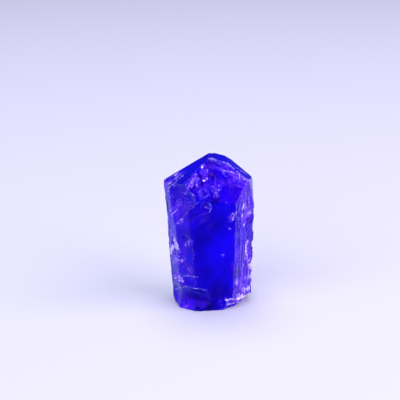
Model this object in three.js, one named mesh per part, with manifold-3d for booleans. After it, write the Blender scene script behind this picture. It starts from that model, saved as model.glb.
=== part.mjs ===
// A rough tanzanite crystal, standing on its broken lower end.
//
// One natural piece: a flattened seven-sided prism of zoisite, grooved along its length as it
// grew, with a roof-shaped termination. Shell-shaped breaks have taken its upper left flank and
// its foot, its left front corner has split off, and small chips run along its edges.
// Millimetres, +Z up along the crystal's length, +X to the right and -Y towards the front. The
// origin is the middle of its footprint.

import * as THREE from "three";
import { mergeVertices } from "three/addons/utils/BufferGeometryUtils.js";
import Module from "manifold-3d";

const wasm = await Module();
wasm.setup();

// ---- Driving dimensions ---------------------------------------------------------------------

const HEIGHT = 24.5; // base to peak
const STOCK = 40; // side of the blocks that cut the flat faces
const EAVES = 19; // height where the prism faces give way to the termination
const SEED = 20;

// Prism faces, in order round the crystal: the way that each one faces in degrees from +X, its
// distance from the axis at the base, and how far it leans outwards for each millimetre up.
const PRISM = {
  front: { facing: -84.5, distance: 4.4, flare: 0.004 },
  leftFront: { facing: -152, distance: 5.3, flare: 0.062 },
  left: { facing: 176, distance: 5.7, flare: 0.07 },
  backLeft: { facing: 118, distance: 4.9, flare: 0.01 },
  back: { facing: 80, distance: 4.7, flare: 0 },
  rightBack: { facing: 21, distance: 6.4, flare: 0.014 },
  rightFront: { facing: -36, distance: 5.4, flare: 0.018 },
};

// Faces of the termination, each the plane z = at + riseX x + riseY y.
const ROOF = {
  roofFront: { at: 25.6, riseX: -0.34, riseY: 1.55 },
  roofLeft: { at: 24.63, riseX: 0.62, riseY: 0.3 },
  roofTop: { at: 24.44, riseX: -0.34, riseY: 0.19 },
  roofRight: { at: 25.65, riseX: -0.8, riseY: 0.1 },
  roofBackLeft: { at: 25, riseX: 0.62, riseY: -0.9 },
  roofBack: { at: 25.69, riseX: -0.225, riseY: -1 },
  roofBackRight: { at: 28.2, riseX: -1, riseY: -1 },
  shoulder: { at: 65, riseX: -7, riseY: 1.5 },
};

// The left front corner has split off above the foot.
const SPLIT = { facing: -124, distance: 4.94, flare: 0.051 };
const SPLIT_FOOT = 3.7; // height where the split starts

// Grooves along each prism face: how many, and the least and most of each size.
const STRIATIONS = {
  front: { grooves: 5, width: [0.3, 0.9], depth: [0.03, 0.07], length: [5, 16] },
  leftFront: { grooves: 4, width: [0.3, 0.6], depth: [0.05, 0.12], length: [3, 9] },
  left: { grooves: 6, width: [0.3, 0.8], depth: [0.05, 0.1], length: [4, 14] },
  backLeft: { grooves: 8, width: [0.3, 0.8], depth: [0.06, 0.14], length: [5, 18] },
  back: { grooves: 10, width: [0.3, 0.9], depth: [0.06, 0.14], length: [5, 20] },
  rightBack: { grooves: 14, width: [0.3, 0.9], depth: [0.08, 0.2], length: [4, 16] },
  rightFront: { grooves: 22, width: [0.3, 0.9], depth: [0.08, 0.24], length: [3, 14] },
};

// Growth lines on the termination, in the same way. They run parallel to the edge that the face
// makes with another one, between the corners that the face makes with four pairs of neighbours.
const ROOF_LINES = {
  roofFront: {
    parallel: "roofTop",
    corners: ["front leftFront", "front rightFront", "roofTop roofRight", "roofTop roofLeft"],
    lines: { grooves: 17, width: [0.2, 0.6], depth: [0.05, 0.14], length: [1.5, 5] },
  },
  roofBackLeft: {
    parallel: "roofLeft",
    corners: ["backLeft left", "backLeft back", "roofTop roofBack", "roofTop roofLeft"],
    lines: { grooves: 9, width: [0.2, 0.6], depth: [0.04, 0.1], length: [2, 6] },
  },
  roofBack: {
    parallel: "roofTop",
    corners: ["back roofBackLeft", "back roofBackRight", "roofRight roofBackRight", "roofTop roofBackLeft"],
    lines: { grooves: 7, width: [0.2, 0.6], depth: [0.04, 0.1], length: [2, 5] },
  },
};

// Shell-shaped breaks: the middle of each, the way that it faces and how steeply that looks up,
// how far it is turned, its size across and along, and its depth. Two of them stopped at a step.
const SHELLS = {
  upperLeft: { at: [-4.7, -3.6, 17], facing: -120, up: 2, turn: 48, size: [8, 10], depth: 0.55 },
  leftSide: { at: [-6.9, -0.6, 14.6], facing: 182, up: -4, turn: 4, size: [4, 9], depth: 0.28 },
  footStep: { at: [-3.9, -3.8, 5.1], facing: -122, up: 3, turn: 86, size: [2.2, 6.4], depth: 0.3 },
  foot: { at: [-2.5, -4.5, 2], facing: -104, up: 0, turn: 91, size: [3.7, 12], depth: 1 },
  footLeft: { at: [-5.1, -2.1, 2], facing: -150, up: -3, turn: 86, size: [3.7, 7], depth: 0.5 },
  footCorner: { at: [-3.8, -3.5, 1.8], facing: -126, up: -4, turn: 88, size: [4.1, 6], depth: 0.5 },
  frontFoot: { at: [3.7, -3.9, 0.1], facing: -58, up: -40, turn: 86, size: [2.4, 6], depth: 0.75 },
  pit: { at: [-0.6, -4.55, 17.3], facing: -84, up: 8, turn: 20, size: [1.4, 2], depth: 0.2 },
  lowRight: { at: [4.9, -2.9, 2.2], facing: -42, up: -6, turn: 62, size: [2, 4.6], depth: 0.5 },
  rightHigh: { at: [7.1, 0, 13], facing: -8, up: -8, turn: 8, size: [2.2, 2.8], depth: 0.3 },
  rightLow: { at: [7.1, 0.2, 5.8], facing: -6, up: 6, turn: -10, size: [2.4, 3.4], depth: 0.35 },
  lowBack: { at: [-3.4, 4.6, 4.6], facing: 104, up: 2, turn: 35, size: [6, 7.5], depth: 0.9 },
  highBack: { at: [3.7, 3.9, 17.4], facing: 50, up: 12, turn: -25, size: [6, 9], depth: 0.95 },
  backFoot: { at: [4.2, 3.2, 0.4], facing: 50, up: -30, turn: 90, size: [3.4, 7], depth: 0.8 },
  underLeft: { at: [-5, 1.6, 0.1], facing: 160, up: -55, turn: 88, size: [4.2, 6.5], depth: 0.6 },
  underBack: { at: [-0.6, 3.4, 0.1], facing: 96, up: -70, turn: 84, size: [4.4, 7], depth: 0.5 },
  underRight: { at: [4.9, -0.5, 0.1], facing: -10, up: -70, turn: 86, size: [4.6, 5.6], depth: 0.55 },
};
const RIPPLE = 0.025; // height of a ripple, for each unit of the break's radius
const RIPPLE_PITCH = 2; // distance between ripples
const BEND = 0.22; // how far the ripples bow, for each unit of the break's radius
const STEP = { at: [-2.1, -4.1, 17.7], facing: -35, up: -42 };
const STOPPED = ["upperLeft", "leftSide"];

// Flakes that have come away and left a step with a flat floor: the face that each is on, its
// middle, how far it is turned, its half width and its depth.
const FLAKES = {
  leftFlake: { face: "leftFront", at: [-5, -2.7, 5.1], turn: 80, size: 0.7, depth: 0.2 },
  splitHigh: { face: "split", at: [-3.4, -4, 12.4], turn: 70, size: 0.5, depth: 0.1 },
  ridge: { face: "roofFront", at: [2.5, -1.7, 22.2], turn: 30, size: 0.5, depth: 0.12 },
  shoulder: { face: "roofFront", at: [4.3, -1.9, 21.2], turn: 76, size: 0.5, depth: 0.12 },
  frontStep: { face: "front", at: [1.5, -4.3, 18.2], turn: 80, size: 0.6, depth: 0.08 },
  leftBand: { face: "roofLeft", at: [-4.6, -1, 21.6], turn: 30, size: 0.8, depth: 0.12 },
  backStep: { face: "back", at: [0.6, 4.8, 11], turn: 10, size: 1.3, depth: 0.14 },
  backRight: { face: "rightBack", at: [5.6, 2, 8], turn: 40, size: 1, depth: 0.16 },
};

// Crumbled patches: the face that each is on, its middle, how far it spreads across and along,
// and how many bites it holds.
const CRUMBLES = {
  leftShoulder: { face: "roofLeft", at: [-5.6, -2, 20.9], spread: [0.9, 0.9], bites: 10 },
  leftEdge: { face: "leftFront", at: [-6.5, -1.2, 16.4], spread: [0.4, 0.6], bites: 4 },
  leftHigh: { face: "leftFront", at: [-5.5, -2.2, 10.3], spread: [0.6, 1.5], bites: 10 },
  leftLow: { face: "split", at: [-4.5, -3.6, 8], spread: [0.9, 0.8], bites: 7 },
  feather: { face: "roofFront", at: [-2.5, -3, 21.7], spread: [0.9, 1.1], bites: 8 },
  plume: { face: "roofFront", at: [-0.9, -2.6, 21.9], spread: [0.3, 1.2], bites: 5 },
  loops: { face: "roofFront", at: [0.2, -3.8, 19.6], spread: [0.9, 0.5], bites: 6 },
  sparkles: { face: "front", at: [3.3, -4.2, 16.2], spread: [0.7, 0.5], bites: 4 },
  rightEdge: { face: "rightFront", at: [6.1, -0.9, 7.2], spread: [0.6, 2], bites: 10 },
  lowRight: { face: "rightFront", at: [5, -2.3, 2.2], spread: [1, 0.8], bites: 8 },
  backHigh: { face: "backLeft", at: [-4.4, 3.4, 18], spread: [1.4, 1.3], bites: 9 },
};
const BITE = [0.25, 0.65]; // half the width of a bite in a crumbled patch

// Edges with small chips along them: the two faces, the face at each end, and how many.
const EDGES = [
  { pair: ["front", "rightFront"], ends: ["base", "roofFront"], chips: 8 },
  { pair: ["rightFront", "rightBack"], ends: ["base", "shoulder"], chips: 9 },
  { pair: ["rightBack", "back"], ends: ["base", "roofBackRight"], chips: 6 },
  { pair: ["back", "backLeft"], ends: ["base", "roofBackLeft"], chips: 7 },
  { pair: ["backLeft", "left"], ends: ["base", "roofBackLeft"], chips: 8 },
  { pair: ["left", "leftFront"], ends: ["base", "roofLeft"], chips: 7 },
  { pair: ["roofFront", "roofTop"], ends: ["roofLeft", "roofRight"], chips: 5 },
  { pair: ["roofFront", "roofRight"], ends: ["roofTop", "rightFront"], chips: 5 },
  { pair: ["roofFront", "front"], ends: ["leftFront", "rightFront"], chips: 7 },
  { pair: ["roofLeft", "left"], ends: ["leftFront", "roofBackLeft"], chips: 5 },
  { pair: ["base", "front"], ends: ["leftFront", "rightFront"], chips: 5 },
  { pair: ["base", "rightFront"], ends: ["front", "rightBack"], chips: 5 },
  { pair: ["base", "back"], ends: ["rightBack", "backLeft"], chips: 6 },
];
const CHIP = [0.15, 0.45]; // half the width of a chip on an edge
const FLATNESS = 0.5; // depth of a bite or a chip, for each unit of its width
const JITTER = 0.2; // how far its corners stray, for each unit of its width

// ---- Chance ---------------------------------------------------------------------------------

let state = SEED;

function chance([low, high]) {
  state = (state + 0x6d2b79f5) | 0;
  let mixed = Math.imul(state ^ (state >>> 15), 1 | state);
  mixed = (mixed + Math.imul(mixed ^ (mixed >>> 7), 61 | mixed)) ^ mixed;
  return low + (((mixed ^ (mixed >>> 14)) >>> 0) / 2 ** 32) * (high - low);
}

// ---- Solids from three.js geometry ----------------------------------------------------------

// A closed geometry with one point at each corner, moved by up to `stray`.
function welded(geometry, stray = 0) {
  const bare = geometry.clone();
  bare.deleteAttribute("normal");
  bare.deleteAttribute("uv");
  const merged = mergeVertices(bare, 1e-4);
  const points = merged.attributes.position.array;
  for (let i = 0; i < points.length; i++) points[i] += chance([-stray, stray]);
  return merged;
}

function solid(geometry) {
  const { attributes, index } = welded(geometry);
  return new wasm.Manifold(
    new wasm.Mesh({
      numProp: 3,
      vertProperties: attributes.position.array,
      triVerts: new Uint32Array(index.array),
    }),
  );
}

function geometryOf(manifold) {
  const mesh = manifold.getMesh();
  const geometry = new THREE.BufferGeometry();
  geometry.setAttribute("position", new THREE.BufferAttribute(mesh.vertProperties, 3));
  geometry.setIndex(new THREE.BufferAttribute(mesh.triVerts, 1));
  return geometry;
}

// ---- Planes ---------------------------------------------------------------------------------

const UP = new THREE.Vector3(0, 0, 1);

function heading(facing, up = 0) {
  const turn = THREE.MathUtils.degToRad(facing);
  const lift = THREE.MathUtils.degToRad(up);
  return new THREE.Vector3(
    Math.cos(turn) * Math.cos(lift),
    Math.sin(turn) * Math.cos(lift),
    Math.sin(lift),
  );
}

function planeAt(normal, point) {
  return new THREE.Plane().setFromNormalAndCoplanarPoint(normal, point);
}

function prismPlane({ facing, distance, flare }) {
  const way = heading(facing);
  const normal = way.clone().addScaledVector(UP, -flare).normalize();
  return planeAt(normal, way.multiplyScalar(distance));
}

function roofPlane({ at, riseX, riseY }) {
  return planeAt(new THREE.Vector3(-riseX, -riseY, 1).normalize(), new THREE.Vector3(0, 0, at));
}

const planes = {
  base: planeAt(UP.clone().negate(), new THREE.Vector3()),
};
for (const [name, face] of Object.entries(PRISM)) planes[name] = prismPlane(face);
for (const [name, face] of Object.entries(ROOF)) planes[name] = roofPlane(face);

// The point where three planes meet.
function meet(...three) {
  const rows = new THREE.Matrix3().set(...three.flatMap((plane) => plane.normal.toArray()));
  const offsets = new THREE.Vector3(...three.map((plane) => -plane.constant));
  return offsets.applyMatrix3(rows.invert());
}

// A block of stock that lies on the outer side of a plane.
function outside(plane) {
  const block = new THREE.BoxGeometry(STOCK * 2, STOCK * 2, STOCK);
  const turn = new THREE.Quaternion().setFromUnitVectors(UP, plane.normal);
  const foot = plane.projectPoint(new THREE.Vector3(0, 0, HEIGHT / 2), new THREE.Vector3());
  block.translate(0, 0, STOCK / 2);
  block.applyQuaternion(turn);
  block.translate(foot.x, foot.y, foot.z);
  return solid(block);
}

// ---- The faceted body -----------------------------------------------------------------------

let crystal = solid(new THREE.BoxGeometry(STOCK, STOCK, STOCK).translate(0, 0, HEIGHT / 2));
for (const plane of Object.values(planes)) crystal = crystal.subtract(outside(plane));

// ---- Growth lines ---------------------------------------------------------------------------

// Moves a mark, made with its length along Y and facing +Z, to its place on the crystal.
function place(geometry, at, normal, along = UP) {
  const across = new THREE.Vector3().crossVectors(along, normal).normalize();
  const length = new THREE.Vector3().crossVectors(normal, across);
  const basis = new THREE.Matrix4().makeBasis(across, length, normal);
  return geometry.applyMatrix4(basis.setPosition(at));
}

// Cuts grooves that taper to both ends, at chance places between the four corners of a face.
function rule(normal, corners, along, { grooves, width, depth, length }) {
  for (let i = 0; i < grooves; i++) {
    const side = chance([0, 1]);
    const low = corners[0].clone().lerp(corners[1], side);
    const high = corners[3].clone().lerp(corners[2], side);
    const sliver = new THREE.OctahedronGeometry(1);
    sliver.scale(chance(width) / 2, chance(length) / 2, chance(depth));
    crystal = crystal.subtract(solid(place(sliver, low.lerp(high, chance([0, 1])), normal, along)));
  }
}

const eaves = planeAt(UP, new THREE.Vector3(0, 0, EAVES));
const sides = Object.keys(PRISM);
sides.forEach((name, i) => {
  const face = planes[name];
  const before = planes[sides.at(i - 1)];
  const after = planes[sides[(i + 1) % sides.length]];
  const ends = [[planes.base, before], [planes.base, after], [eaves, after], [eaves, before]];
  rule(face.normal, ends.map((pair) => meet(face, ...pair)), UP, STRIATIONS[name]);
});
for (const [name, { parallel, corners, lines }] of Object.entries(ROOF_LINES)) {
  const face = planes[name];
  const along = face.normal.clone().cross(planes[parallel].normal);
  const ends = corners.map((pair) => pair.split(" ").map((other) => planes[other]));
  rule(face.normal, ends.map((pair) => meet(face, ...pair)), along, lines);
}

// ---- Breaks ---------------------------------------------------------------------------------

// A scoop with bowed ripples across its length, as a blow leaves in a crystal. The lump that
// bites it out goes in to half its own depth, where its outline is cos 30 degrees of its size.
function shell({ at, facing, up, turn, size, depth }) {
  const ripples = Math.round(size[1] / RIPPLE_PITCH);
  const lump = new THREE.SphereGeometry(1, 20, ripples * 3 + 4);
  const points = lump.attributes.position;
  for (let i = 0; i < points.count; i++) {
    const swell = 1 + RIPPLE * Math.sin(points.getY(i) * ripples * Math.PI);
    points.setY(i, points.getY(i) - BEND * points.getX(i) ** 2);
    points.setX(i, points.getX(i) * swell);
    points.setZ(i, points.getZ(i) * swell);
  }
  const widen = 0.5 / Math.cos(Math.PI / 6);
  const scoop = welded(lump, RIPPLE / 4);
  scoop.scale(size[0] * widen, size[1] * widen, depth * 2);
  scoop.translate(0, 0, depth);
  scoop.rotateZ(THREE.MathUtils.degToRad(turn));
  return solid(place(scoop, new THREE.Vector3(...at), heading(facing, up)));
}

// A six-sided flake with a flat floor and crooked sides.
function flake({ face, at, turn, size, depth }) {
  const wedge = welded(new THREE.CylinderGeometry(1.2, 1, 2, 6).rotateX(Math.PI / 2), JITTER);
  wedge.scale(size, size * 1.5, depth);
  wedge.rotateZ(THREE.MathUtils.degToRad(turn));
  const spot = faces[face].projectPoint(new THREE.Vector3(...at), new THREE.Vector3());
  return solid(place(wedge, spot, faces[face].normal));
}

// A crooked pointed lump for a bite into a surface, with its size and its turn by chance.
function bite(at, normal, size) {
  const lump = welded(new THREE.OctahedronGeometry(1), JITTER);
  lump.scale(chance(size), chance(size), chance(size) * FLATNESS);
  lump.rotateZ(chance([0, Math.PI]));
  return solid(place(lump, at, normal));
}

// The place of a chance bite in a crumbled patch.
function inPatch({ face, at, spread }) {
  const { normal } = faces[face];
  const across = new THREE.Vector3().crossVectors(UP, normal).normalize();
  const along = new THREE.Vector3().crossVectors(normal, across);
  const spot = faces[face].projectPoint(new THREE.Vector3(...at), new THREE.Vector3());
  spot.addScaledVector(across, chance([-spread[0], spread[0]]));
  return spot.addScaledVector(along, chance([-spread[1], spread[1]]));
}

const faces = { ...planes, split: prismPlane(SPLIT) };
const belowSplit = new THREE.BoxGeometry(STOCK, STOCK, STOCK);
belowSplit.translate(0, 0, SPLIT_FOOT - STOCK / 2);
crystal = crystal.subtract(outside(faces.split).subtract(solid(belowSplit)));

const step = planeAt(heading(STEP.facing, STEP.up), new THREE.Vector3(...STEP.at));
for (const [name, mark] of Object.entries(SHELLS)) {
  const scoop = shell(mark);
  crystal = crystal.subtract(STOPPED.includes(name) ? scoop.subtract(outside(step)) : scoop);
}

for (const mark of Object.values(FLAKES)) crystal = crystal.subtract(flake(mark));

for (const patch of Object.values(CRUMBLES)) {
  for (let i = 0; i < patch.bites; i++) {
    crystal = crystal.subtract(bite(inPatch(patch), faces[patch.face].normal, BITE));
  }
}

for (const { pair, ends, chips } of EDGES) {
  const [one, two] = pair.map((name) => planes[name]);
  const [start, end] = ends.map((name) => meet(one, two, planes[name]));
  const outwards = one.normal.clone().add(two.normal).normalize();
  for (let i = 0; i < chips; i++) {
    const spot = start.clone().lerp(end, chance([0.03, 0.97]));
    crystal = crystal.subtract(bite(spot, outwards, CHIP));
  }
}

// ---- Result ---------------------------------------------------------------------------------

const geometry = geometryOf(crystal);
geometry.computeBoundingBox();
const middle = geometry.boundingBox.getCenter(new THREE.Vector3());
geometry.translate(-middle.x, -middle.y, 0);

const material = new THREE.MeshStandardMaterial({
  color: 0x2a18c8,
  roughness: 0.2,
  metalness: 0,
});
const mesh = new THREE.Mesh(geometry, material);
mesh.name = "crystal";
const group = new THREE.Group();
group.add(mesh);

export default group;
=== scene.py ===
# A rough tanzanite crystal that stands on its broken end on a pale studio floor. Shapes are worked
# out in millimetres and turned into metres once, where each is placed.

import itertools
import math
from collections import namedtuple

import bpy
import numpy as np
from mathutils import Matrix, Vector


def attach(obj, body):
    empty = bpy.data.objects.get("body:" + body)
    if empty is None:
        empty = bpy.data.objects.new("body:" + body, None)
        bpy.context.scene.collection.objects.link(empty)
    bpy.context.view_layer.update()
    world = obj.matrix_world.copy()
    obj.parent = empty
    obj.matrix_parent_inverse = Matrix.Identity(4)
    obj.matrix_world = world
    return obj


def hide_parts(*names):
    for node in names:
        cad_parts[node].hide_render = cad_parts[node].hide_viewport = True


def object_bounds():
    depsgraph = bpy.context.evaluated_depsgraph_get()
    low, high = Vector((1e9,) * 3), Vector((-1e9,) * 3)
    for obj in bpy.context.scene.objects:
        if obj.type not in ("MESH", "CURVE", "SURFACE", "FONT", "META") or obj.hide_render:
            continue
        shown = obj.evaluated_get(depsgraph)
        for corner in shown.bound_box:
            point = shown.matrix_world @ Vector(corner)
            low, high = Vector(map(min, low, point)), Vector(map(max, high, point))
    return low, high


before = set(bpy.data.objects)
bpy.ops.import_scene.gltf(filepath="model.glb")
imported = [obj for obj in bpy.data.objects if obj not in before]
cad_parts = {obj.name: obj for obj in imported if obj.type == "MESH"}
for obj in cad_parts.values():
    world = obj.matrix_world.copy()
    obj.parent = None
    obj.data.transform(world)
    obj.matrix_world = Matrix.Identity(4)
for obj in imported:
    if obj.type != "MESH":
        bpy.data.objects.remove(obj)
cad_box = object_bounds()


# ---- The crystal ----------------------------------------------------------------------------
# One natural crystal of tanzanite, the blue kind of zoisite. Its sides grew in steps that left
# them grooved along their length. Blows have since flaked it, which left smooth rippled shells,
# crushed frosty patches and a nibbled line along each edge.

MM = 0.001
PITCH = 0.125  # distance between the points of the finished surface
SHIFT = (0.045, -0.109, 0)  # from the axis that the faces are measured from to the footprint's middle

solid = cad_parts["crystal"]
blank = solid.copy()
blank.data = solid.data.copy()
blank.data.transform(Matrix.Scale(1 / MM, 4))
bpy.context.collection.objects.link(blank)
regrid = blank.modifiers.new("even points", "REMESH")
regrid.mode = "VOXEL"
regrid.voxel_size = PITCH
ready = blank.evaluated_get(bpy.context.evaluated_depsgraph_get())
skin = bpy.data.meshes.new_from_object(ready)
skin.name = "crystal_skin"
bpy.data.objects.remove(blank)


def read(mesh, what):
    """The place ("co") or the direction outwards ("normal") of each point of a mesh."""
    values = np.empty(len(mesh.vertices) * 3)
    mesh.vertices.foreach_get(what, values)
    return values.reshape(-1, 3)


def ramp(values, low, high):
    """0 below low, 1 above high and a smooth rise between them."""
    part = np.clip((values - low) / (high - low), 0, 1)
    return part * part * (3 - 2 * part)


surface = read(skin, "co")
pairs = np.empty(len(skin.edges) * 2, dtype=np.int64)
skin.edges.foreach_get("vertices", pairs)
others = pairs.reshape(-1, 2)[:, ::-1].ravel()
joined = np.bincount(pairs)

# The corner between the two breaks at the foot is worn round: its points settle between the
# points next to them.
CORNER = (-4, -3.8, 1.9)
CORNER_SCALE = (0.45, 0.45, 0.5)  # one over how far the wear reaches
ROUNDS = 60
from_corner = np.linalg.norm((surface - CORNER) * CORNER_SCALE, axis=1)
soft = ramp(from_corner, 1.2, 0.9) * ramp(surface[:, 2], 0.1, 0.5)
for _ in range(ROUNDS):
    sums = np.stack([np.bincount(pairs, surface[others, i]) for i in range(3)], -1)
    surface = surface + 0.5 * soft[:, None] * (sums / joined[:, None] - surface)

# Right at the bottom that corner spreads to a blunt toe.
TOE = (-4.2, -3.9, 0)
TOE_REACH = (1.5, 1.5, 1.6)
TOE_SPREAD = (-0.4, -0.5, 0)
blunt = np.exp(-(((surface - TOE) / TOE_REACH) ** 2).sum(axis=1))
surface = surface + blunt[:, None] * TOE_SPREAD
skin.vertices.foreach_set("co", surface.ravel())
skin.update()
outwards = read(skin, "normal")
place = surface - SHIFT


def scramble(knots, seed):
    """A number from -1 to 1 for each whole-numbered place, the same on every run."""
    odd = (374761393, 668265263, 1442695041)  # big odd numbers mix the places well
    low_bits = 0x7FFFFFFFFFFF
    mixed = (knots.astype(np.int64) * odd).sum(-1) + seed * 8191
    mixed = (mixed ^ (mixed >> 13)) * 1274126177 & low_bits
    mixed = (mixed ^ (mixed >> 16)) * 1103515245 & low_bits
    return ((mixed >> 8) & 0xFFFF) / 32767.5 - 1


def lumps(points, size, seed):
    """Smooth unevenness from -1 to 1, in lumps of about `size`."""
    cell = points / size
    knot = np.floor(cell)
    part = cell - knot
    part = part * part * (3 - 2 * part)
    total = 0
    for corner in itertools.product((0, 1), repeat=3):
        weight = np.where(corner, part, 1 - part).prod(axis=1)
        total = total + scramble(knot + corner, seed) * weight
    return total


def shards(points, size, seed):
    """Flat splinters of about `size`: the height of each point and the shade of its splinter."""
    cell = points / size
    knot = np.floor(cell)
    nearest = np.full(len(points), np.inf)
    height = np.zeros(len(points))
    shade = np.zeros(len(points))
    for step in itertools.product((-1, 0, 1), repeat=3):
        here = knot + step
        centre = here + 0.5 + 0.45 * np.stack([scramble(here, seed + i) for i in range(3)], -1)
        away = cell - centre
        far = (away * away).sum(-1)
        tilt = np.stack([scramble(here, seed + 3 + i) for i in range(3)], -1)
        closer = far < nearest
        nearest = np.where(closer, far, nearest)
        height = np.where(closer, (away * tilt).sum(-1) + 0.4 * scramble(here, seed + 6), height)
        shade = np.where(closer, scramble(here, seed + 7), shade)
    return np.clip(height, -1, 1), shade * 0.5 + 0.5


# The grown sides: the way that each faces in degrees, its distance from the axis, its lean
# outwards, how deep the grooves on it are, and how violet it looks.
Side = namedtuple("Side", "facing distance lean groove violet")
sides = {
    "front": Side(-84.5, 4.4, 0.004, 0.002, 0.0),
    "split": Side(-124, 4.94, 0.051, 0.016, 0.2),
    "left front": Side(-152, 5.3, 0.062, 0.012, 0.3),
    "left": Side(176, 5.7, 0.07, 0.016, 0.3),
    "back left": Side(118, 4.9, 0.01, 0.04, 0.3),
    "back": Side(80, 4.7, 0, 0.045, 0.1),
    "right back": Side(21, 6.4, 0.014, 0.07, 0.8),
    "right front": Side(-36, 5.4, 0.018, 0.085, 0.75),
}
# The faces of the top: height at the axis, rise to the right and rise to the back. The edge of the
# crest falls to the right.
CREST_FALL = 0.34
tops = {
    "front slope": (25.6, -CREST_FALL, 1.55),
    "left slope": (24.63, 0.62, 0.3),
    "crest": (24.44, -CREST_FALL, 0.19),
    "right slope": (25.65, -0.8, 0.1),
    "back left slope": (25, 0.62, -0.9),
    "back slope": (25.69, -0.225, -1),
    "back right slope": (28.2, -1, -1),
}
# How far each point lies above each face. The split side ends above the foot.
SPLIT_END = 3.7
FAR_BELOW = -9
above = {}
for name, side in sides.items():
    turn = math.radians(side.facing)
    normal = np.array((math.cos(turn), math.sin(turn), -side.lean))
    above[name] = (place @ normal - side.distance) / np.linalg.norm(normal)
for name, (at, right, back) in tops.items():
    normal = np.array((-right, -back, 1))
    above[name] = (place @ normal - at) / np.linalg.norm(normal)
above["split"] = np.where(place[:, 2] > SPLIT_END, above["split"], FAR_BELOW)
highest = np.max(np.stack(list(above.values())), axis=0)
sunk = -highest  # how far each point lies below the grown faces
# 1 for the points on each grown face, falling to 0 where it is broken away.
on = {name: ramp(height, -0.32, -0.22) * (height >= highest) for name, height in above.items()}
broken = ramp(sunk, 0.2, 0.32)
# How much each face colours the stone near it. The borders between them wander.
share = {
    name: np.exp((height - highest) / 0.2 + 1.2 * lumps(place, 0.8, 80 + number))
    for number, (name, height) in enumerate(above.items())
}
shared = sum(share.values())

# Grooves along the grown sides: long narrow steps, like the edges of stacked cards, with finer
# lines on them. `dent` adds up how far the finished surface sinks below the cut one.
CARD = (0.5, 0.5, 9)
THIN_CARD = (0.19, 0.19, 4)
FINE_LINE = (0.15, 0.15, 1.6)
card = 2.4 * lumps(place, CARD, 11) + 0.9 * lumps(place, THIN_CARD, 12)
step = card - np.floor(card)
fine = lumps(place, FINE_LINE, 13)
grooved = sum(on[name] * side.groove for name, side in sides.items())
dent = grooved * (0.75 * step + 0.25 * (0.5 + 0.5 * fine))

# The grooves carry strokes of paler colour that come and go in bands. There are fewer of them half
# way up, and next to the broad front face.
BAND = (0.9, 0.9, 3)
THIN_BAND = (0.35, 0.35, 1.1)
STROKED_GROOVE = 0.07  # a groove this deep carries the most strokes
bands = ramp(lumps(place, BAND, 16) + 0.6 * lumps(place, THIN_BAND, 17), -0.4, 0.5)
calm = ramp(place[:, 2], 9.5, 11) * ramp(-place[:, 2], -15, -13.5)
near_front = share["right front"] / shared * ramp(above["front"], -2, -0.3)
stroke = np.clip(grooved / STROKED_GROOVE, 0, 1) * ramp(0.8 * step + 0.4 * fine, 0.15, 0.8)
stroke = 0.85 * stroke * bands * (1 - 0.7 * calm) * (1 - 0.5 * near_front)

# Small chips down the right and left edges.
RIGHT_CHIP = 0.13  # how deep they are
LEFT_CHIP = 0.07
chipped = ramp(np.abs(place[:, 0]), 5.5, 6.3) * ramp(-place[:, 2], -20, -18)
uneven = lumps(place, (0.7, 0.7, 0.8), 28) + 0.5 * lumps(place, 0.35, 29)
dent = dent + np.where(place[:, 0] > 0, RIGHT_CHIP, LEFT_CHIP) * chipped * ramp(uneven, 0.05, 0.6)

# Growth lines: along the crest on the front slope, with feathery strokes up its left half, and
# shallow ones on the back.
TERRACE = 0.028  # how deep the growth lines are
FEATHER = 0.02
BACK_TERRACE = 0.007
slanted = place @ np.array(((1, 0, 0), (0, 1, 0), (0.3, 1.4, 1))).T
terrace = 2 * lumps(slanted, (4.5, 9, 0.45), 14) + lumps(slanted, (2, 9, 0.2), 15)
terrace = terrace - np.floor(terrace)
feather = lumps(place, (0.22, 3, 3), 18) + 0.5 * lumps(place, (0.12, 1.2, 1.2), 19)
slope = on["front slope"]
dent = dent + slope * (TERRACE * terrace + FEATHER * (0.5 + 0.5 * feather))
dent = dent + BACK_TERRACE * (on["back slope"] + on["back left slope"]) * terrace
dotted = ramp(lumps(place, 0.28, 20), -0.2, 0.4)
high_right = ramp(place[:, 0], -0.8, 0.8) * ramp(-above["crest"], 0.02, 0.15)
high_right = high_right * (1 - ramp(-above["crest"], 1.4, 3.2))
tufts = ramp(lumps(place, 1.1, 22), -0.3, 0.5) * (1 - 0.8 * ramp(place[:, 0], 0.2, 2))

# Fine ripples in the big shell-shaped break, round the spot where the blow fell. The break stops
# at a ledge that runs down across the flank.
BLOW = (-3.2, -4.6, 21.6)
RIPPLE = 0.5  # distance from one ripple to the next
RIPPLE_DEPTH = 0.045
LEDGE_AT = (-2.1, -4.1, 17.7)
LEDGE_FACING = (0.609, -0.426, -0.669)
radius = np.linalg.norm(place - BLOW, axis=1)
past_ledge = (place - LEDGE_AT) @ LEDGE_FACING + 0.06 * lumps(place, 0.9, 25)
flank = ramp(place[:, 2], 10.5, 11.5) * ramp(-place[:, 0] - place[:, 1], 2.5, 4)
flank = flank * (1 - ramp(above["front slope"], -0.4, -0.1))
shell = ramp(sunk, 0.05, 0.15) * (past_ledge < 0) * flank
wave = np.sin(2 * math.pi * (radius / RIPPLE + 0.8 * lumps(place, 1.3, 21)))
fading = ramp(radius, 0.5, 1.5) * (1 - 0.7 * ramp(radius, 3.5, 7))
dent = dent + RIPPLE_DEPTH * shell * fading * (0.5 + 0.5 * wave)

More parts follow.
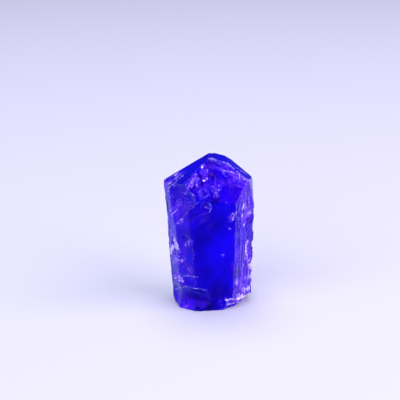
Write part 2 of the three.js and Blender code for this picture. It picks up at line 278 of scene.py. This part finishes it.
# Crushed patches, with a few painted glints among them: the angle that the splinters in each group run
# at, as seen from the front, and where each patch is, how far it reaches and how badly it is crushed.
crushed_and_glints = {
    "left shoulder": (
        38,
        [
            ((-6.5, -1.2, 20.2), 0.9, 1.4),
            ((-5.8, -1.1, 20.5), 0.8, 1.2),
            ((-5.2, -0.9, 21.0), 0.8, 1.3),
            ((-4.5, -1.0, 21.4), 0.8, 1.2),
            ((-5.4, -2.1, 20.2), 0.7, 0.7),
            ((-6.5, -1.7, 19.4), 0.6, 0.8),
        ],
    ),
    "veils on the shell-shaped break": (
        42,
        [
            ((-6.2, -1.6, 18.4), 0.8, 0.7),
            ((-4.9, -3.0, 17.6), 0.9, 0.6),
            ((-5.4, -2.4, 15.9), 1.1, 0.8),
            ((-4.1, -3.5, 19.4), 0.8, 0.7),
            ((-4.4, -3.6, 15.0), 0.8, 0.6),
        ],
    ),
    "feather": (
        58,
        [
            ((-2.3, -2.7, 22.2), 0.5, 1.0),
            ((-2.6, -3.2, 21.4), 0.6, 0.9),
            ((-3.0, -3.6, 20.8), 0.6, 0.9),
            ((-2.1, -3.1, 21.4), 0.5, 0.7),
            ((-2.1, -3.6, 20.7), 0.5, 0.7),
            ((-3.3, -4.1, 20.4), 0.4, 0.8),
        ],
    ),
    "plume": (
        88,
        [
            ((-1.0, -1.9, 23.0), 0.5, 0.7),
            ((-0.8, -2.3, 22.2), 0.6, 1.0),
            ((-0.7, -2.7, 21.6), 0.5, 0.9),
            # a painted sparkle, drawn as a small, strongly crushed spot
            ((-1.0, -3.0, 21.2), 0.25, 3.5),
        ],
    ),
    "below the plume": (
        -12,
        [
            ((-1.6, -3.9, 19.9), 0.7, 0.5),
            ((-0.2, -3.4, 20.2), 0.8, 0.5),
            ((-1.0, -4.3, 19.0), 0.7, 0.45),
            ((1.0, -3.3, 20.1), 0.7, 0.55),
            ((1.0, -3.7, 19.3), 0.6, 0.45),
            ((-0.2, -4.5, 17.3), 0.6, 0.45),
            ((-0.6, -4.5, 16.5), 0.6, 0.35),
        ],
    ),
    "along the crest": (
        -22,
        [
            ((2.1, -1.4, 22.7), 0.7, 0.7),
            ((3.1, -1.5, 22.3), 0.7, 0.6),
            ((3.5, -1.9, 21.3), 0.8, 0.5),
            ((4.1, -1.5, 21.9), 0.8, 0.7),
            ((5.1, -1.7, 21.3), 0.8, 0.9),
            ((5.7, -1.8, 20.6), 0.8, 1.4),
            ((6.1, -0.9, 20.4), 0.6, 1.3),
            ((4.5, -2.2, 20.6), 0.8, 0.45),
            ((1.4, -1.6, 22.9), 0.6, 0.6),
        ],
    ),
    "right of the front": (
        65,
        [
            ((4.0, -4.0, 16.3), 0.6, 0.9),
            ((3.3, -4.2, 15.5), 0.6, 0.9),
            ((4.6, -3.2, 16.3), 0.6, 0.7),
            ((2.8, -4.2, 14.7), 0.6, 0.6),
            ((5.6, -1.9, 13.8), 0.5, 1.4),
            ((5.7, -1.8, 13.0), 0.4, 1.4),
            ((1.9, -4.3, 9.6), 0.35, 1.0),
            ((3.2, -4.2, 13.6), 0.3, 0.6),
        ],
    ),
    "right side": (
        88,
        [
            ((5.5, -2.1, 18.2), 0.7, 1.0),
            ((5.3, -2.5, 16.9), 0.7, 1.1),
            ((5.2, -2.6, 15.2), 0.7, 0.8),
            ((6.2, -0.9, 17.5), 0.7, 1.0),
            ((6.2, -0.9, 15.2), 0.7, 0.9),
            # the next three marks are a painted highlight half way down the right edge, drawn as
            # crushed stone
            ((5.9, -1.2, 9.8), 0.6, 2.0),
            ((5.9, -1.2, 8.9), 0.6, 3.4),
            ((6.0, -1.0, 7.9), 0.7, 2.6),
            ((6.3, -0.6, 7.0), 0.6, 1.8),
            ((4.7, -2.9, 8.6), 0.9, 0.6),
            ((4.2, -3.6, 7.2), 0.9, 0.6),
            ((5.2, -2.1, 6.2), 0.9, 0.8),
            ((6.5, -0.2, 5.7), 0.7, 1.8),
            ((6.5, -0.2, 4.2), 0.7, 1.6),
            ((5.4, -1.8, 4.5), 0.9, 0.9),
            ((4.3, -3.5, 4.6), 0.9, 0.7),
        ],
    ),
    "right foot": (
        12,
        [
            ((6.2, -0.7, 2.0), 0.7, 1.6),
            ((5.5, -1.6, 2.6), 0.9, 1.2),
            ((5.5, -1.5, 1.2), 0.8, 2.1),
            ((4.7, -2.7, 1.3), 0.8, 2.2),
            ((3.9, -3.7, 1.3), 0.6, 1.8),
            ((3.2, -4.1, 1.5), 0.7, 1.2),
            ((1.9, -4.2, 1.3), 0.5, 0.8),
        ],
    ),
    "left side": (
        70,
        [
            ((-5.9, -1.6, 11.7), 0.6, 2.2),
            ((-5.4, -2.4, 11.5), 0.8, 2.6),
            ((-5.3, -2.6, 10.7), 0.8, 2.6),
            ((-5.9, -1.4, 9.7), 0.8, 2.4),
            ((-6.2, -0.7, 8.7), 0.6, 1.8),
            ((-5.0, -3.2, 9.9), 0.6, 1.4),
            ((-3.0, -4.6, 11.8), 0.5, 0.7),
        ],
    ),
    "left streaks": (
        30,
        [
            ((-3.9, -4.0, 11.0), 0.3, 0.9),
            ((-3.2, -4.4, 11.3), 0.3, 0.9),
            ((-5.4, -2.2, 8.0), 0.6, 1.3),
            ((-4.8, -2.8, 8.1), 0.5, 1.3),
            ((-4.2, -3.6, 8.2), 0.5, 1.1),
            ((-4.9, -2.9, 9.0), 0.4, 0.9),
            ((-3.1, -4.4, 7.0), 0.8, 0.7),
            ((-5.5, -1.6, 4.6), 0.5, 1.8),
            ((-4.9, -2.5, 4.8), 0.5, 2.2),
            ((-4.3, -3.3, 4.9), 0.4, 1.3),
        ],
    ),
    "back": (
        80,
        [
            ((-4.4, 3.4, 18.0), 1.8, 0.9),
            ((-2.0, 4.4, 12.0), 1.2, 0.7),
            ((2.6, 4.6, 3.0), 1.6, 0.8),
            ((6.4, 1.8, 12.0), 1.5, 0.8),
            ((-6.6, 1.0, 7.0), 1.3, 0.8),
            ((3.2, 3.2, 22.0), 1.3, 0.8),
            ((-3.6, 2.6, 21.0), 1.2, 0.8),
        ],
    ),
}

# Marks have ragged outlines, because they are measured from places that are bent a little.
bent = place + 0.3 * np.stack([lumps(place, 0.8, 35 + i) for i in range(3)], -1)
bent = bent + 0.15 * np.stack([lumps(place, 0.35, 45 + i) for i in range(3)], -1)

# Each point as it is seen from the front and a little above: how far right and how far up.
LOOK_DOWN = math.radians(20.5)
up = math.cos(LOOK_DOWN) * place[:, 2] + math.sin(LOOK_DOWN) * place[:, 1]
seen = np.stack((place[:, 0], up), -1)
facing_front = ramp(outwards @ (0, -math.cos(LOOK_DOWN), math.sin(LOOK_DOWN)), 0.05, 0.3)


def touched(marks, spread=0.1):
    """How strongly each point is marked, from (middle, reach, strength) marks."""
    total = np.zeros(len(place))
    for middle, reach, strength in marks:
        near = 1 - ramp(np.linalg.norm(bent - middle, axis=1) / reach, spread, 1.35)
        total = np.maximum(total, near * strength)
    return total


def combed(angle, seed):
    """Fine veins that run at this angle, as seen from the front."""
    turn = math.radians(angle)
    run = seen @ (math.cos(turn), math.sin(turn))
    across = seen @ (-math.sin(turn), math.cos(turn))
    flat = np.stack((across, run, 0 * run), -1)
    return 0.6 * lumps(flat, (0.17, 1.1, 1), seed) + 0.6 * lumps(flat, (0.34, 1.7, 1), seed + 1)


def traced(paths, width):
    """How close each point is to scratches, which are seen from the front as (strength, points)."""
    total = np.zeros(len(place))
    wavy = seen + 0.08 * np.stack([lumps(place, 0.4, 93 + i) for i in range(2)], -1)
    for strength, points in paths:
        for one, other in itertools.pairwise(np.array(points)):
            run = other - one
            part = np.clip((wavy - one) @ run / (run @ run), 0, 1)
            gap = np.linalg.norm(wavy - one - part[:, None] * run, axis=1)
            total = np.maximum(total, strength * (1 - ramp(gap, width * 0.3, width)))
    return total * facing_front


def along(one, other, width):
    """1 on the edge where two faces meet, falling to 0 at that width from it."""
    return 1 - ramp(-np.minimum(above[one], above[other]), width * 0.3, width)


# Frost is how badly each point is crushed, in ragged patches that also hold a few painted glints,
# and vein the pale streaks in them.
ragged = 0.5 * lumps(place, 0.7, 31) + 0.5 * lumps(place, 0.28, 32)
frost_and_glints = np.zeros(len(place))
vein = np.full(len(place), 0.5)
for number, (angle, marks) in enumerate(crushed_and_glints.values()):
    patch = touched(marks, 0.6)
    veins = combed(angle, 100 + 2 * number)
    vein = vein + np.clip(2 * patch, 0, 1) * (0.5 + 0.7 * veins - vein)
    frost_and_glints = np.maximum(frost_and_glints, patch * (1 + 0.9 * ragged + 0.7 * veins))
frost_and_glints = np.clip(0.34 * frost_and_glints + 0.08 * slope * tufts, 0, 1)

# Strokes that catch the light: along the crest, up the slope, round the ripples, and on thin
# leaves of stone that have half come away.
cloud = 0.8 * lumps(place, 3.2, 71) + 0.2 * lumps(place, 1.3, 72)
crestwise = slope * high_right * ramp(lumps(place, 0.9, 26) + 0.5 * combed(-21, 130), -0.4, 0.5)
stroke = stroke + 0.45 * slope * tufts * ramp(feather, 0.25, 0.8)
stroke = stroke + 0.6 * shell * fading * ramp(wave + ragged, 0.4, 1.2) * (0.3 + 0.7 * dotted)
stroke = stroke + 0.2 * shell * ramp(cloud + 0.5 * ragged, -0.5, 0.5)
leaves = [
    ((-5.3, -2.2, 7.4), 1.3, 0.9),
    ((-4.4, -3.5, 8.2), 0.6, 0.8),
    ((-3.1, -4.4, 6.2), 0.5, 0.4),
    ((-5.3, -1.9, 4.6), 1.0, 1.0),
    ((-4.6, -2.9, 4.8), 0.8, 1.0),
    ((-1.2, -4.6, 15.6), 1.9, 0.12),
    ((-4.4, -3.2, 0.5), 0.9, 0.7),
    ((-3.4, -3.9, 0.2), 0.8, 0.8),
    ((-2.4, -4.1, 0.2), 0.7, 0.5),
]
stroke = stroke + touched(leaves) * ramp(combed(30, 140), -0.4, 0.6)

# How far the points round each point lie below it: more than 0 along an edge that stands out and
# less than 0 along a crease.
falls = ((surface[pairs] - surface[others]) * outwards[pairs]).sum(axis=1)
sharp = np.bincount(pairs, falls) / joined / PITCH

# Pale lines, partly wear and partly painted highlight on the edges that stand out: nibbled along every
# edge and dotted along the crest and the left shoulder. They are weak beside the left slope, half way
# up the right side and on the flank, and there are none along the bottom on the left.
edge = ramp(sharp, 0.05, 0.14)
nibble = edge * ramp(lumps(place, 0.5, 33) + 0.5 * lumps(place, 0.2, 34), -0.1, 0.5)
bright_edges = along("front slope", "crest", 0.14) + along("front slope", "right slope", 0.14)
bright_edges = bright_edges + along("left slope", "left front", 0.2) + along("left slope", "left", 0.2)
wear_and_edge_highlights = np.clip(edge * (0.25 + 0.6 * nibble + 0.5 * broken) + 0.7 * bright_edges * dotted, 0, 1)
wear_and_edge_highlights = wear_and_edge_highlights * (1 - 0.8 * along("front slope", "left slope", 0.4))
wear_and_edge_highlights = wear_and_edge_highlights * (1 - 0.8 * along("crest", "left slope", 0.4))
wear_and_edge_highlights = wear_and_edge_highlights * (1 - 0.7 * calm * on["right front"]) * (1 - 0.5 * flank)
wear_and_edge_highlights = wear_and_edge_highlights * np.maximum(ramp(surface[:, 2], 0.5, 1.2), ramp(surface[:, 0], 0.5, 1.5))
ledge = (1 - ramp(np.abs(past_ledge), 0.04, 0.16)) * flank
wear_and_edge_highlights = np.maximum(wear_and_edge_highlights, 0.35 * ledge * (edge + 0.5) * (0.4 + 0.6 * dotted))

# Scratches, and painted highlights on the rims of small steps: how bright each is, and its bends as
# seen from the front.
HAIRLINE = 0.13  # half the width of one
hairlines = [
    # the rim of the break at the foot, and the ledge above it
    (0.6, [(-5.4, 1.6), (-4.6, 2.1), (-3.6, 2.3), (-2.4, 2.1), (-1.2, 2.0), (-0.4, 1.8)]),
    (0.6, [(-4.8, 3.8), (-4.2, 3.9), (-3.4, 4.1), (-2.7, 4.0), (-1.9, 3.9)]),
    (0.9, [(-5.6, 3.5), (-4.3, 3.6)]),
    # the left side
    (0.5, [(-4.0, 9.2), (-2.8, 9.7)]),
    (0.2, [(-2.6, 9.8), (-2.7, 8.7), (-2.5, 7.4), (-2.6, 6.1), (-2.3, 4.5)]),
    (0.8, [(-6.0, 5.8), (-5.0, 6.5), (-3.9, 6.7)]),
    (0.5, [(-5.7, 7.0), (-5.1, 7.6), (-4.5, 7.9)]),
    # loops and feathers on the front slope
    (0.4, [(0.4, 18.0), (0.9, 17.4), (1.1, 16.5)]),
    (0.5, [(-0.2, 15.5), (0.2, 14.9), (-0.1, 14.0)]),
    (0.3, [(-0.6, 17.5), (-0.3, 17.2), (-0.2, 16.8), (-0.5, 16.4), (-0.9, 16.3)]),
    (0.25, [(-1.4, 16.5), (-1.6, 16.9), (-1.4, 17.4), (-0.9, 17.6)]),
    (0.5, [(-3.6, 18.2), (-2.9, 19.1), (-2.1, 19.9)]),
    (0.4, [(-2.0, 19.9), (-1.9, 17.8)]),
    (0.35, [(-3.3, 17.9), (-2.5, 19.1)]),
    (0.35, [(-2.8, 17.8), (-2.3, 18.9)]),
    # beside the crest
    (0.5, [(-0.3, 22.3), (1.8, 21.7), (3.9, 21.0), (6.3, 19.6)]),
    (0.3, [(-0.2, 22.1), (1.8, 21.4), (3.6, 20.8)]),
    (0.4, [(1.6, 20.7), (4.1, 19.9), (5.9, 18.8)]),
    # the edges of grown steps down the right side
    (0.5, [(5.1, 17.2), (5.1, 13.3)]),
    (0.8, [(5.5, 17.4), (5.7, 13.6)]),
    (0.7, [(6.0, 16.7), (6.2, 13.8)]),
    (0.4, [(4.6, 14.9), (4.5, 11.8)]),
    (0.3, [(4.1, 10.8), (4.1, 7.1)]),
    (0.4, [(5.1, 10.7), (4.9, 6.5)]),
    (0.9, [(6.0, 9.6), (5.8, 7.0)]),
    (0.5, [(4.5, 6.6), (4.3, 2.8)]),
    (0.6, [(5.3, 5.9), (5.0, 2.2)]),
    (0.9, [(6.2, 6.4), (6.2, 2.9)]),
    (1.0, [(3.5, 0.3), (4.6, 0.4), (5.4, 0.5), (6.2, 0.8)]),
    # the left shoulder
    (1.0, [(-6.8, 19.1), (-5.9, 19.6), (-4.8, 20.2)]),
    (0.8, [(-6.5, 18.3), (-5.3, 19.2), (-4.4, 20.0)]),
    (0.7, [(-6.4, 17.7), (-5.3, 18.6), (-4.6, 19.4)]),
]
flecked = ramp(lumps(place, 0.3, 27) + 0.4 * ragged, -0.3, 0.5)
wear_and_edge_highlights = np.maximum(wear_and_edge_highlights, traced(hairlines, HAIRLINE) * (0.25 + 0.75 * flecked))

# Crushed stone is a bed of splinters and grit, and small bites are missing from the edges.
SPLINTER = 0.4
GRIT = 0.21
splinter, shade = shards(place, SPLINTER, 41)
grit, grit_shade = shards(place, GRIT, 61)
dent = dent + frost_and_glints * (0.06 * (0.5 + 0.5 * splinter) + 0.03 * (0.5 + 0.5 * grit))
dent = dent + 0.05 * nibble

# Painted shade and painted light: where the stone looks deep it is painted navy, and where light
# comes through from behind a glow is painted. Both lists hold a middle, a reach and a strength.
# Grooves and creases get painted shade too.
painted_shades = [
    ((-6.5, -0.9, 16.6), 0.8, 1.6),
    ((-2.9, -4.0, 20.4), 0.5, 0.9),
    ((-1.4, -2.8, 21.7), 0.4, 1.2),
    ((-1.3, -3.3, 20.9), 0.5, 1.2),
    ((0.2, -2.4, 21.8), 0.4, 1.0),
    ((0.7, -2.3, 21.7), 0.5, 1.2),
    ((0.7, -4.4, 18.4), 0.7, 1.1),
    ((-0.8, -4.4, 17.4), 0.5, 0.9),
    ((-2.6, -4.5, 16.3), 1.8, 0.55),
    ((-0.4, -4.5, 16.2), 1.8, 0.5),
    ((0.8, -4.4, 14.5), 2.2, 0.6),
    ((-1.0, -4.6, 14.3), 2.0, 0.6),
    ((-3.1, -4.5, 13.2), 1.0, 0.5),
    ((-1.5, -4.6, 12.5), 2.4, 0.75),
    ((-2.1, -4.7, 10.8), 1.9, 0.65),
    ((-1.5, -4.6, 9.2), 1.8, 0.45),
    ((-2.3, -4.5, 6.8), 1.7, 0.55),
    ((-0.6, -4.4, 6.2), 2.2, 0.5),
    ((2.6, -4.2, 7.5), 1.8, 0.35),
    ((1.5, -4.2, 4.4), 2.0, 0.6),
    ((1.5, -4.3, 3.2), 2.1, 0.8),
    ((-3.1, -3.4, 1.9), 1.5, 0.8),
    ((-1.8, -3.6, 2.0), 1.6, 0.9),
    ((-1.5, -3.8, 0.6), 1.4, 1.1),
    ((-0.2, -4.1, 1.0), 1.5, 1.1),
    ((2.6, 4.6, 14.0), 2.2, 0.8),
    ((-2.6, 4.4, 6.0), 2.2, 0.8),
    ((6.6, 1.0, 14.0), 1.5, 0.6),
]
# Painted glows, where light comes through from behind.
glows = [
    ((3.1, -4.2, 12.0), 1.6, 0.45),
    ((2.1, -4.3, 10.9), 1.5, 0.4),
    ((1.0, -4.4, 9.6), 1.8, 0.45),
    ((1.7, -4.3, 8.2), 1.5, 0.55),
    ((2.3, -4.3, 17.0), 2.0, 0.8),
    ((2.8, -3.6, 19.1), 1.5, 0.7),
    ((-4.4, -0.8, 22.0), 2.0, 1.0),
    ((-2.4, -1.2, 23.0), 2.0, 1.0),
    ((-3.6, 3.0, 12.0), 2.5, 0.8),
    ((1.0, 4.6, 9.0), 2.0, 0.8),
]
tone_and_painted_shade = 0.24 + 0.25 * ramp(-cloud, -0.4, 0.6) + 0.12 * slope - 0.3 * touched(glows)
tone_and_painted_shade = tone_and_painted_shade + 0.75 * touched(painted_shades) * (0.8 + 0.5 * cloud)
tone_and_painted_shade = np.clip(tone_and_painted_shade, 0, 1) * (1 - 0.7 * frost_and_glints)
# Painted shade down the grooves and in the creases.
tone_and_painted_shade = tone_and_painted_shade + (0.5 - 0.25 * calm) * ramp(grooved, 0.03, 0.07) * ramp(-bands * step, -0.35, 0)
tone_and_painted_shade = tone_and_painted_shade + 0.5 * ramp(-sharp, 0.03, 0.1)

# No face is perfectly flat, and broken ground swells a little more than grown ground. The flat
# that the crystal stands on keeps its place.
SWELL = 0.012
BROKEN_SWELL = 0.03
dent = dent + (SWELL + BROKEN_SWELL * broken) * (1 + lumps(place, 2.2, 51))
dent = dent + SWELL * broken * (1 + shards(place, 0.9, 52)[0])
dent = dent * ramp(surface[:, 2], 0, 0.15)

low, high = (np.array(corner) / MM for corner in cad_box)
worn = np.clip(surface - outwards * dent[:, None], low, high) * MM
skin.vertices.foreach_set("co", worn.ravel())
skin.update()


def keep(name, values):
    """Stores one number for each point, for the shader to read."""
    layer = skin.attributes.new(name, "FLOAT", "POINT")
    layer.data.foreach_set("value", np.clip(values, 0, 1).astype(np.float32))


# How violet the stone looks: most down the right side, though less next to the front face, and a
# little on the left side, the front slope and the breaks. At the bottom of the foot on the left the
# violet is a painted glow.
violet = sum(share[name] * side.violet for name, side in sides.items()) / shared
violet = violet * (1 - 0.6 * near_front) * (1 - 0.7 * shell)
violet = violet + 0.2 * slope + 0.12 * broken * (1 - shell)
violet = violet + touched([((-3.4, -3.4, 0.0), 1.6, 0.2), ((-4.8, -2.4, 0.6), 1.2, 0.3)])
deepest_groove = max(side.groove for side in sides.values())

keep("frost_and_glints", frost_and_glints)
keep("glint", 0.6 * shade + 0.4 * grit_shade)
keep("vein", vein)
keep("slope", slope + on["back slope"] + on["back left slope"] + on["back right slope"])
keep("stroke", stroke)
keep("crestwise", crestwise)
keep("violet", violet * (0.75 + 0.6 * cloud))
keep("lines", wear_and_edge_highlights)
keep("tone_and_painted_shade", tone_and_painted_shade)
keep("grooved", grooved / deepest_groove)
skin.shade_smooth()
skin.set_sharp_from_angle(angle=math.radians(32))

crystal = bpy.data.objects.new("rough_gem", skin)
bpy.context.collection.objects.link(crystal)

# Its colour and gloss. The clear stone swallows green light and much of the red, so a thick part
# is deep blue and a thin one violet. Fresh breaks are glossy, grown sides are satiny along their
# steps, and crushed stone scatters the light and looks lilac to white.


class Shade:
    """One output of a shader node. Sums written on it add the nodes that work them out."""

    tree = None

    def __init__(self, socket):
        self.socket = socket

    @classmethod
    def node(cls, kind, output, settings, inputs):
        """Adds a node and gives back one of its outputs, or nothing from a node that has none."""
        made = cls.tree.nodes.new(kind)
        for name, value in settings.items():
            setattr(made, name, value)
        for name, value in inputs.items():
            if isinstance(value, Shade):
                cls.tree.links.new(value.socket, made.inputs[name])
            else:
                made.inputs[name].default_value = value
        return cls(made.outputs[output]) if made.outputs else None

    def _sum(self, operation, one, two):
        return self.node("ShaderNodeMath", 0, {"operation": operation}, {0: one, 1: two})

    def __add__(self, other):
        return self._sum("ADD", self, other)

    def __sub__(self, other):
        return self._sum("SUBTRACT", self, other)

    def __rsub__(self, other):
        return self._sum("SUBTRACT", other, self)

    def __mul__(self, other):
        return self._sum("MULTIPLY", self, other)

    __radd__ = __add__
    __rmul__ = __mul__


def stored(name):
    """A number that was kept for each point of the surface."""
    return Shade.node("ShaderNodeAttribute", "Fac", {"attribute_name": name}, {})


def mottle(where, scale, detail=3):
    """Noise from 0 to 1, with `scale` spots to the metre."""
    return Shade.node(
        "ShaderNodeTexNoise", 0, {}, {"Vector": where, "Scale": scale, "Detail": detail}
    )


def rise(value, low, high):
    """0 below low, 1 above high."""
    return Shade.node(
        "ShaderNodeMapRange", 0, {}, {"Value": value, "From Min": low, "From Max": high}
    )


def tint(part, one, two):
    """One colour turning into another as part goes from 0 to 1. Inputs 6 and 7 are the colours."""
    return Shade.node(
        "ShaderNodeMix", 2, {"data_type": "RGBA"}, {"Factor": part, 6: one, 7: two}
    )


gem = bpy.data.materials.new("tanzanite")
gem.use_nodes = True
Shade.tree = gem.node_tree
gem.node_tree.nodes.clear()

frosted_and_glinting = stored("frost_and_glints")
glinting = stored("glint")
veined = stored("vein")
sloping = stored("slope")
strokes = stored("stroke")
sidelong = stored("crestwise")
violets = stored("violet")
lines = stored("lines")
shade_and_tone = stored("tone_and_painted_shade")
grooves = stored("grooved")
# Sugar is the fine grain of crushed stone and haze a slow change of tone. The hairs are drawn out
# along the grown sides, up the front slope and down the crest.
spot = Shade.node("ShaderNodeTexCoord", "Object", {}, {})
grown = Shade.node("ShaderNodeMapping", 0, {}, {"Vector": spot, "Scale": (1, 1, 0.1)})
uphill = Shade.node("ShaderNodeMapping", 0, {}, {"Vector": spot, "Scale": (1, 0.12, 0.12)})
down_the_crest = Shade.node(
    "ShaderNodeMapping",
    0,
    {"vector_type": "TEXTURE"},
    {"Vector": spot, "Rotation": (0, math.atan(CREST_FALL), 0), "Scale": (10, 1, 1)},
)
sugar = mottle(spot, 5500, 4)
haze = mottle(spot, 700)
hair = mottle(grown, 4200)
comb = mottle(uphill, 3600)
crest_hair = mottle(down_the_crest, 3600)
grain = sugar + 0.5 * sloping * (comb - sugar) + grooves * (hair - sugar)

# The clear stone first, then the strokes, the pale lines of wear and painted highlight, and the
# crushed patches with their few painted glints laid over it.
DEEP = (0.003, 0.0, 0.82, 1)
NAVY = (0.001, 0.0, 0.12, 1)
VIOLET = (0.13, 0.008, 0.95, 1)
MAUVE = (0.34, 0.1, 1.0, 1)
LILAC = (0.4, 0.24, 1.0, 1)
PALE = (0.95, 0.88, 1.0, 1)
# NAVY here is painted shade as well as the stone's own deeper tone.
body = tint(shade_and_tone + 0.35 * haze - 0.17, DEEP, NAVY)
washed = tint((violets + 0.4 * frosted_and_glinting) * rise(haze, 0.25, 0.6), body, VIOLET)
stroking = strokes * rise(hair, 0.3, 0.6) + 0.33 * sidelong * rise(crest_hair, 0.48, 0.62)
stroked = tint(stroking, washed, MAUVE)
# Pale lines: wear, and painted highlight along edges.
lined = tint(lines * rise(sugar, 0.3, 0.55), stroked, tint(lines, LILAC, PALE))
crumbs = rise(grain, 0.36, 0.64)
fleck = 0.4 * crumbs + 0.25 * veined + 0.5 * frosted_and_glinting + 0.15 * glinting
veiled = tint(0.3 * rise(frosted_and_glinting, 0.1, 0.6), lined, MAUVE)
# Crushed stone and the few painted glints turn lilac and pale.
crushed_and_glints_here = rise(frosted_and_glinting, 0.02, 0.33)
dusted = tint(crushed_and_glints_here * rise(fleck, 0.65, 0.8), veiled, LILAC)
colour = tint(crushed_and_glints_here * rise(fleck, 0.76, 0.84), dusted, PALE)

TANZANITE_IOR = 1.69
GLOSS_TINT = (0.07, 0.02, 1.0, 1)
INNER_TINT = (0.55, 0.0, 0.98, 1)  # what the stone lets through
SWALLOWED = 1100  # how strongly it absorbs the rest, per metre
RELIEF = 0.06 * MM  # how high the finest roughness stands
roughness = 0.05 + 0.08 * grooves + 0.2 * strokes + 0.5 * frosted_and_glinting + 0.2 * lines
relief = 0.25 * grooves * hair + 1.2 * frosted_and_glinting * grain + 0.05 * haze
bumped = Shade.node(
    "ShaderNodeBump", 0, {}, {"Height": relief, "Distance": RELIEF, "Strength": 0.9}
)
stone = Shade.node(
    "ShaderNodeBsdfPrincipled",
    0,
    {},
    {
        "Base Color": colour,
        "Roughness": roughness,
        "Normal": bumped,
        "IOR": TANZANITE_IOR,
        "Specular Tint": GLOSS_TINT,
        "Transmission Weight": 0.5,
    },
)
inside = Shade.node(
    "ShaderNodeVolumeAbsorption", 0, {}, {"Color": INNER_TINT, "Density": SWALLOWED}
)
Shade.node("ShaderNodeOutputMaterial", None, {}, {"Surface": stone, "Volume": inside})

skin.materials.clear()
skin.materials.append(gem)
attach(crystal, "root")
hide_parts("crystal")


# ---- Studio ---------------------------------------------------------------------------------
# A plain pale floor, a soft lamp overhead, a wider one in front on the left, one on the right, and
# an even pale violet sky. The camera looks a little down on the crystal's broad face.

FLOOR_GAP = 0.05 * MM  # the floor lies this far below the crystal's base
paint = bpy.data.materials.new("floor")
paint.use_nodes = True
ground = paint.node_tree.nodes["Principled BSDF"]
ground.inputs["Base Color"].default_value = (0.41, 0.43, 0.53, 1)
ground.inputs["Roughness"].default_value = 0.7
bpy.ops.mesh.primitive_plane_add(size=4, location=(0, 0, -FLOOR_GAP))
floor = bpy.context.object
floor.name = "floor"
floor.data.materials.append(paint)

HALF_WAY_UP = 12 * MM


def lamp(name, position, size, power, colour):
    """A round lamp that shines at the middle of the crystal. Its place and size are in metres."""
    light = bpy.data.lights.new(name, "AREA")
    light.shape = "DISK"
    light.size = size
    light.energy = power
    light.color = colour
    holder = bpy.data.objects.new(name, light)
    bpy.context.collection.objects.link(holder)
    holder.location = position
    aim = Vector((0, 0, HALF_WAY_UP)) - Vector(position)
    holder.rotation_euler = aim.to_track_quat("-Z", "Y").to_euler()


lamp("key", (-0.04, 0.14, 0.56), 0.42, 3, (0.98, 0.97, 1.0))
lamp("fill", (-0.35, -0.44, 0.32), 0.75, 6.2, (0.97, 0.95, 1.0))
lamp("rim", (0.4, -0.16, 0.26), 0.52, 4.4, (1.0, 0.84, 1.0))

sky = bpy.data.worlds.new("sky")
sky.use_nodes = True
sky.node_tree.nodes["Background"].inputs["Color"].default_value = (0.48, 0.42, 0.8, 1)
sky.node_tree.nodes["Background"].inputs["Strength"].default_value = 0.25
bpy.context.scene.world = sky

CAMERA_AT = (-1.494, -162.166, 77.613)  # from the same axis as the faces
bpy.context.scene.view_settings.view_transform = "Standard"
view = bpy.data.cameras.new("camera")
view.lens = 100
view.clip_start = 10 * MM
eye = bpy.data.objects.new("camera", view)
eye.location = np.add(CAMERA_AT, SHIFT) * MM
eye.rotation_euler = (math.pi / 2 - LOOK_DOWN, 0, 0)
bpy.context.collection.objects.link(eye)
bpy.context.scene.camera = eye
